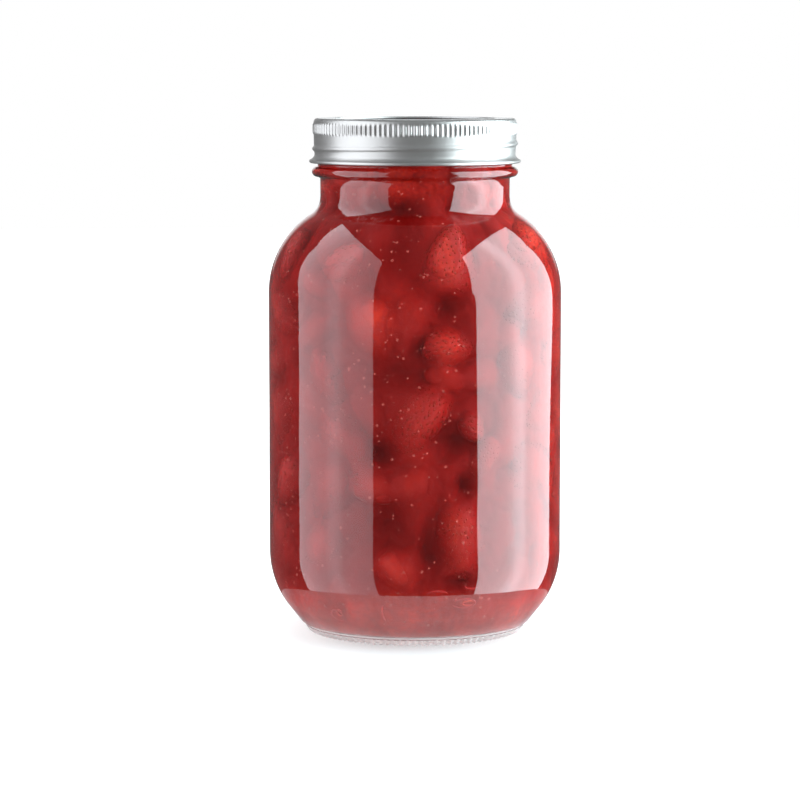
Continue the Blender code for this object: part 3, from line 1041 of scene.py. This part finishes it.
def make_strawberries(settings):
    """Whole strawberries with dimples and seeds, then the soft fruit and threads round them."""
    draw = random.Random(BERRY_SEED + 2)
    heap = Heap()
    seeds = Heap()
    fine_ball = unit_ball(5)
    coarse_ball = unit_ball(4)
    seed_ball = unit_ball(1)
    berries = []
    for index, berry in enumerate(berry_plan()):
        front = index < len(FRONT_BERRIES)
        if berry[1] > SOFT_FOOT:
            tint = FRONT_TINTS[index] if front else draw.uniform(*OTHER_TINTS)
            berries.append((berry, tint + NECK_PAINTED_LIGHT * (berry[1] > NECK_FOOT)))
    deep = [(berry, draw.uniform(*OTHER_TINTS)) for berry in deep_plan()]
    for index, (berry, tint) in enumerate(berries):
        in_neck = berry[1] > NECK_FOOT
        berry = (*berry[:2], BERRY_BARE * berry[2], BERRY_BARE * berry[3], *berry[4:])
        shape = [draw.uniform(0.0, 2 * math.pi) for _ in range(3)]
        unit, faces = fine_ball if index < len(FRONT_BERRIES) else coarse_ball
        place = berry_place(berry)
        points = held_in(moved(berry_shape(unit, berry, shape), place), in_neck, HEAP_GAP)
        angles = np.arctan2(points[:, 1], points[:, 0])
        shade = fruit_field(angles, points[:, 2], berries + deep)[1]
        spots, outward, along = seed_spots(berry, shape, place, in_neck, draw)
        spots = brought_out(spots, berries + deep)
        if index in SMOOTH_BERRIES or in_neck:
            spots = spots[:0]
        inward = np.zeros(points.shape)
        for spot, out in zip(spots, outward):
            near = np.linalg.norm(points - spot, axis=1)
            pit = np.exp(-((near / (0.55 * DIMPLE_RADIUS)) ** 2))
            inward -= pit[:, None] * out * DIMPLE_DEPTH
            add_seed(seeds, seed_ball, spot - 0.6 * DIMPLE_DEPTH * out, out, along, draw)
        heap.add(points + inward, faces, tint=shade, depth=depth_shade(points))
    piece = heap.piece("whole_strawberries", "fruit")
    dress(piece, fruit_material(settings))
    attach(piece, "root")
    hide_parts("strawberries")
    grains = seeds.piece("strawberry_seeds", "fruit")
    dress(grains, seed_material(settings))
    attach(grains, "root")
    make_mush(berries + deep, piece.data.materials[0])
    make_fibres(piece.data.materials[0])


def brought_out(spots, berries):
    """Move spots on a berry out to the soft fruit where that lies over them."""
    radius = np.hypot(spots[:, 0], spots[:, 1])
    depths = fruit_field(np.arctan2(spots[:, 1], spots[:, 0]), spots[:, 2], berries)[0]
    soft = wall_radius(spots[:, 2]) - np.maximum(depths, MUSH_GAP)
    share = np.maximum(radius, soft) / radius
    return spots * np.stack((share, share, np.ones(len(spots))), axis=1)


def make_mush(berries, material):
    """The soft fruit that the whole strawberries lie in."""
    heights = np.linspace(MUSH_BOTTOM + 0.1 * MM, HEAP_TOP - 0.4 * MM, MUSH_ROWS)
    angles = np.arange(MUSH_COLUMNS) * 2 * math.pi / MUSH_COLUMNS
    height, angle = (grid.ravel() for grid in np.meshgrid(heights, angles, indexing="ij"))
    depths, shade = fruit_field(angle, height, berries)
    radius = wall_radius(height) - np.maximum(depths, MUSH_GAP)
    foot = np.clip((height - MUSH_BOTTOM) / (3.0 * MM), 0.0, 1.0)
    radius *= 0.95 + 0.05 * np.sqrt(1.0 - (1.0 - foot) ** 2)
    ring = np.arange(MUSH_COLUMNS)
    after = (ring + 1) % MUSH_COLUMNS
    faces = []
    for first in range(0, MUSH_COLUMNS * (MUSH_ROWS - 1), MUSH_COLUMNS):
        above = first + MUSH_COLUMNS
        corners = (first + ring, first + after, above + after, above + ring)
        faces += np.stack(corners, axis=1).tolist()
    last = MUSH_COLUMNS * (MUSH_ROWS - 1)
    bottom = np.full(MUSH_COLUMNS, len(height))
    faces += np.stack((ring, bottom, after), axis=1).tolist()
    faces += np.stack((last + ring, last + after, bottom + 1), axis=1).tolist()
    points = np.stack((np.cos(angle) * radius, np.sin(angle) * radius, height), axis=1)
    points = np.concatenate((points, [(0.0, 0.0, MUSH_BOTTOM + 0.8 * MM), (0.0, 0.0, HEAP_TOP)]))
    piece = new_piece("crushed_strawberries", points, faces)
    add_layer(piece, "tint", np.append(shade, (0.3, 0.3)))
    add_layer(piece, "depth", depth_shade(points))
    dress(piece, material)
    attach(piece, "root")


def depth_shade(points):
    """How far points lie behind the glass, from 0 at the wall to 1 where the flesh is painted fully
    dark: painted shade for the syrup over it.
    """
    behind = wall_radius(points[:, 2]) - np.hypot(points[:, 0], points[:, 1])
    return np.clip((behind - SHADE_DEPTH_START) / (SHADE_DEPTH_END - SHADE_DEPTH_START), 0.0, 1.0)


def make_fibres(material):
    """Threads and shreds just behind the glass, each a thin closed tube along a curl."""
    heap = Heap()
    ring = np.arange(FIBRE_SIDES)
    turns = ring * 2 * math.pi / FIBRE_SIDES
    for azimuth, height, across, rise, start, sweep, tint, width, depth in FIBRES:
        along = np.radians(start + sweep * np.linspace(0.0, 1.0, FIBRE_STEPS))
        levels = height * MM + rise * MM * np.sin(along)
        angles = math.radians(azimuth) - math.pi / 2 + across * MM * np.cos(along) / BODY_RADIUS
        radius = wall_radius(levels) - depth * MM
        line = np.stack((np.cos(angles) * radius, np.sin(angles) * radius, levels), axis=1)
        ahead = np.gradient(line, axis=0)
        ahead /= np.linalg.norm(ahead, axis=1)[:, None]
        out = np.stack((np.cos(angles), np.sin(angles), np.zeros(FIBRE_STEPS)), axis=1)
        side = np.cross(ahead, out)
        thick = width * MM * np.sin(np.pi * np.linspace(0.04, 0.96, FIBRE_STEPS)) ** 0.5
        rim = np.cos(turns)[:, None, None] * side + np.sin(turns)[:, None, None] * out
        points = (line + rim * thick[:, None]).transpose(1, 0, 2).reshape(-1, 3)
        faces = []
        last = FIBRE_SIDES * (FIBRE_STEPS - 1)
        for first in range(0, last, FIBRE_SIDES):
            here = first + ring
            after = first + (ring + 1) % FIBRE_SIDES
            faces += np.stack((here, after, after + FIBRE_SIDES), axis=1).tolist()
            faces += np.stack((here, after + FIBRE_SIDES, here + FIBRE_SIDES), axis=1).tolist()
        caps = range(1, FIBRE_SIDES - 1)
        faces += [(0, index + 1, index) for index in caps]
        faces += [(last, last + index, last + index + 1) for index in caps]
        heap.add(points, np.array(faces), tint=tint, depth=0.0)
    piece = heap.piece("fruit_threads", "fruit")
    dress(piece, material)
    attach(piece, "root")


def add_seed(seeds, ball, spot, out, along, draw):
    """One seed: a small flat grain that lies along its berry."""
    side = np.cross(out, along)
    side /= max(np.linalg.norm(side), 1e-9)
    length = np.cross(side, out)
    size = np.array(SEED_SIZE) * draw.uniform(0.85, 1.15)
    unit, faces = ball
    points = (
        unit[:, :1] * size[0] * side
        + unit[:, 1:2] * size[1] * length
        + unit[:, 2:] * size[2] * out
    )
    seeds.add(spot + points, faces)


def filled_outline(level, reach):
    """Outline of what fills the jar up to a level; it reaches into the glass, or stays off it."""
    side = [point for point in finer(inner_outline(), 4.0 * MM) if point[1] < level]
    outline = []
    for index, (radius, height) in enumerate(side):
        before = side[max(0, index - 1)]
        after = side[min(len(side) - 1, index + 1)]
        along = Vector((after[0] - before[0], after[1] - before[1])).normalized()
        if radius < 1e-7:
            outline.append((0.0, height - reach))
        else:
            outline.append((radius + along.y * reach, height - along.x * reach))
    edge = outline[-1][0]
    outline += [(edge, level), (edge - 1.2 * MM, level - 0.3 * MM), (20.0 * MM, level - 0.4 * MM)]
    outline.append((0.0, level - 0.4 * MM))
    return outline[::-1]


def make_syrup(settings):
    """Syrup from the floor to its level; it reaches a little into the glass."""
    points, faces = turned(filled_outline(settings.syrup_level, SYRUP_REACH), SYRUP_COLUMNS)
    piece = new_piece("syrup", points, faces)
    top = syrup_material(settings, "syrup_top", SYRUP_INDEX)
    dress(piece, syrup_material(settings, "syrup", 1.0), top)
    for face in piece.data.polygons[: SYRUP_TOP_RINGS * SYRUP_COLUMNS]:
        face.material_index = 1
    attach(piece, "root")


def make_bubbles(settings):
    """Tiny bubbles close behind the glass."""
    draw = random.Random(BERRY_SEED + 3)
    ball = unit_ball(2)
    bubbles = Heap()
    while bubbles.count < settings.bubble_count * len(ball[0]):
        height = draw.uniform(*BUBBLE_HEIGHTS) * MM
        size = MM * draw.choice(BUBBLE_RADII)
        room = inner_radius(height) - size - 0.15 * MM - draw.uniform(0.0, 0.5) * MM
        angle = draw.uniform(0.0, 2 * math.pi)
        spot = np.array([room * math.cos(angle), room * math.sin(angle), height])
        bubbles.add(ball[0] * size + spot, ball[1])
    piece = bubbles.piece("bubbles", None)
    dress(piece, bubble_material())
    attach(piece, "root")


# --- Stage --------------------------------------------------------------------------------

def light_material(name, tint):
    """Softbox cloth, brighter where its lamp stands behind it."""
    material, shading = new_material(name)
    glow = shading.node("ShaderNodeAttribute", {"attribute_name": "glow"}, output="Color")
    sockets = {"Color": shading.blend(1.0, glow, rgba(tint), "MULTIPLY"), "Strength": 1.0}
    shading.surface(shading.node("ShaderNodeEmission", sockets=sockets))
    return material


def direction(azimuth, elevation):
    """Unit vector from angles in degrees; azimuth is from the front, to the right."""
    turn, rise = math.radians(azimuth), math.radians(elevation)
    flat = math.cos(rise)
    return Vector((math.sin(turn) * flat, -math.cos(turn) * flat, math.sin(rise)))


def make_softbox(name, middle, corners, glow, tint):
    """A softbox as the jar sees it: straight edges join its corners, rows run from its middle."""
    rows = 14
    steps = 8
    aims = [direction(*corner) for corner in corners]
    hub = direction(*middle)
    rim = []
    for start, end in zip(aims, aims[1:] + aims[:1]):
        rim += [start.lerp(end, step / steps).normalized() for step in range(steps)]
    points = [hub]
    for row in range(1, rows + 1):
        points += [hub.lerp(aim, row / rows).normalized() for aim in rim]
    count = len(rim)
    faces = [(0, 1 + (index + 1) % count, 1 + index) for index in range(count)]
    for row in range(rows - 1):
        first = 1 + row * count
        for index in range(count):
            after = (index + 1) % count
            outer = first + count
            faces.append((first + index, first + after, outer + after, outer + index))
    box = new_piece(name, [LIGHT_CENTRE + point * LIGHT_DISTANCE for point in points], faces)
    azimuths = [math.degrees(math.atan2(point.x, -point.y)) for point in points]
    add_layer(box, "glow", np.interp(azimuths, *zip(*glow)))
    dress(box, light_material(name, tint))
    box.visible_camera = False
    box.visible_transmission = False


def make_world():
    """White behind the jar; gloss sees a dark room, white only straight behind."""
    world = bpy.data.worlds.new("studio")
    bpy.context.scene.world = world
    world.use_nodes = True
    shading = Shading(world.node_tree, "ShaderNodeOutputWorld")
    place = shading.node("ShaderNodeTexCoord", output="Generated")
    back = shading.node("ShaderNodeSeparateXYZ", sockets={0: place}, output="Y")
    up = shading.node("ShaderNodeSeparateXYZ", sockets={0: place}, output="Z")
    room = (SURROUND, SURROUND, SURROUND, 1.0)
    white = (1.0, 1.0, 1.0, 1.0)
    behind = shading.ramp(back, [(0.92, 0.0), (0.98, 1.0)])
    above = shading.ramp(up, [(0.0, 0.0), (0.012, 1.0)])
    behind = shading.blend(1.0, behind, above, "MULTIPLY")
    gloss = shading.blend(behind, room, white)
    soft = shading.ramp(back * 0.5 + 0.5, [(0.0, 0.3), (0.5, 0.4), (0.9, 1.0)])
    seen = shading.node("ShaderNodeLightPath", output="Is Glossy Ray")
    spread = shading.node("ShaderNodeLightPath", output="Is Diffuse Ray")
    colour = shading.blend(spread, white, soft)
    colour = shading.blend(seen, colour, gloss)
    sockets = {"Color": colour, "Strength": 1.0}
    shading.surface(shading.node("ShaderNodeBackground", sockets=sockets))


def make_disc(name, radii, height, pale, along, near, far):
    """A round white piece of the stage; near and far are a place along it and the glow there; on
    the floor, the dim glow near the jar is a painted shadow.
    """
    points, faces = turned([(radius, height) for radius in radii] + [(0.0, height)], 96)
    disc = new_piece(name, points, [face[::-1] for face in faces])
    material, shading = new_material(name)
    cloud = shading.noise(3.0, 2.0)
    spot = shading.node("ShaderNodeTexCoord", output="Object")
    if along == "Y":
        away = shading.node("ShaderNodeSeparateXYZ", sockets={0: spot}, output="Y")
    else:
        sockets = {0: spot, 1: PAINTED_SHADOW_SQUEEZE}
        narrow = shading.node("ShaderNodeVectorMath", {"operation": "MULTIPLY"}, sockets)
        away = shading.node("ShaderNodeVectorMath", {"operation": "LENGTH"}, {0: narrow}, "Value")
    # Glow from near to far: on the floor, the dim glow near the jar is a painted shadow
    share = (away - near[0]) * (1.0 / (far[0] - near[0]))
    glow = shading.ramp(share, [(0.0, near[1]), (1.0, far[1])])
    sockets = {
        "Base Color": shading.blend(cloud, rgba((pale,) * 3), rgba((1.04 * pale,) * 3)),
        "Roughness": 0.6,
        "Specular IOR Level": 0.0,
        "Emission Color": glow,
        "Emission Strength": 1.0,
    }
    shading.surface(shading.principled(sockets))
    dress(disc, material)
    return disc


def make_floor():
    """A pale floor with a painted shadow round the jar's foot in its glow, and a small bright stand
    that shows in the glass alone.
    """
    radii = (STAND_RADIUS, 0.5 * STAND_RADIUS)
    stand = make_disc("stand", radii, -0.1 * MM, 0.4, "Y", (-0.045, 1.45), (-0.005, 0.1))
    stand.visible_camera = False
    stand.visible_shadow = False
    stand.visible_diffuse = False
    radii = (2.6, 1.2, 0.5, 0.2, 0.1)
    # The floor's glow is dim near the jar and white further out: a painted shadow round the foot
    floor = make_disc("floor", radii, -0.4 * MM, 0.33, "radius", (0.042, 0.38), (0.13, 1.05))
    floor.visible_glossy = False


def make_camera():
    data = bpy.data.cameras.new("camera")
    data.lens = CAMERA_LENS
    data.sensor_width = 36.0
    data.clip_end = 20.0
    camera = bpy.data.objects.new("camera", data)
    bpy.context.scene.collection.objects.link(camera)
    camera.location = CAMERA_PLACE
    camera.rotation_euler = (math.pi / 2 - CAMERA_DIP, 0.0, 0.0)
    bpy.context.scene.camera = camera


def make_stage():
    make_world()
    make_floor()
    make_softbox("softbox_left", LEFT_MIDDLE, LEFT_CORNERS, LEFT_GLOW, LEFT_TINT)
    make_softbox("softbox_right", RIGHT_MIDDLE, RIGHT_CORNERS, RIGHT_GLOW, RIGHT_TINT)
    make_camera()
    view = bpy.context.scene.view_settings
    view.view_transform = "Standard"
    view.look = "None"


# --- Operators and panel ------------------------------------------------------------------

class JAR_OT_glass(bpy.types.Operator):
    """Turn the glass jar"""

    bl_idname = "preserving_jar.glass"
    bl_label = "Glass Jar"

    def execute(self, context):
        make_glass(context.scene.preserving_jar)
        return {"FINISHED"}


class JAR_OT_closure(bpy.types.Operator):
    """Press the screw band and finish the flat lid"""

    bl_idname = "preserving_jar.closure"
    bl_label = "Screw Band and Lid"

    def execute(self, context):
        make_band(context.scene.preserving_jar)
        finish_lid()
        return {"FINISHED"}


class JAR_OT_strawberries(bpy.types.Operator):
    """Fill the jar with strawberries and their seeds"""

    bl_idname = "preserving_jar.strawberries"
    bl_label = "Strawberries"

    def execute(self, context):
        make_strawberries(context.scene.preserving_jar)
        return {"FINISHED"}


class JAR_OT_syrup(bpy.types.Operator):
    """Pour the syrup, with its bubbles"""

    bl_idname = "preserving_jar.syrup"
    bl_label = "Syrup"

    def execute(self, context):
        make_syrup(context.scene.preserving_jar)
        make_bubbles(context.scene.preserving_jar)
        return {"FINISHED"}


class JAR_OT_stage(bpy.types.Operator):
    """Set up the floor, softboxes, surroundings and camera"""

    bl_idname = "preserving_jar.stage"
    bl_label = "Stage"

    def execute(self, context):
        make_stage()
        return {"FINISHED"}


OPERATORS = (JAR_OT_glass, JAR_OT_closure, JAR_OT_strawberries, JAR_OT_syrup, JAR_OT_stage)


class JAR_PT_panel(bpy.types.Panel):
    """Lists the pieces of the jar and its settings"""

    bl_idname = "JAR_PT_panel"
    bl_label = "Preserving Jar"
    bl_space_type = "VIEW_3D"
    bl_region_type = "UI"
    bl_category = "Preserving Jar"

    def draw(self, context):
        for operator in OPERATORS:
            self.layout.operator(operator.bl_idname)
        settings = context.scene.preserving_jar
        for name in JarSettings.__annotations__:
            self.layout.prop(settings, name)


CLASSES = (JarSettings, *OPERATORS, JAR_PT_panel)


def register():
    for kind in CLASSES:
        bpy.utils.register_class(kind)
    bpy.types.Scene.preserving_jar = PointerProperty(type=JarSettings)


def unregister():
    del bpy.types.Scene.preserving_jar
    for kind in reversed(CLASSES):
        bpy.utils.unregister_class(kind)


def main():
    register()
    for operator in OPERATORS:
        group, name = operator.bl_idname.split(".")
        getattr(getattr(bpy.ops, group), name)()


if __name__ == "__main__":
    main()
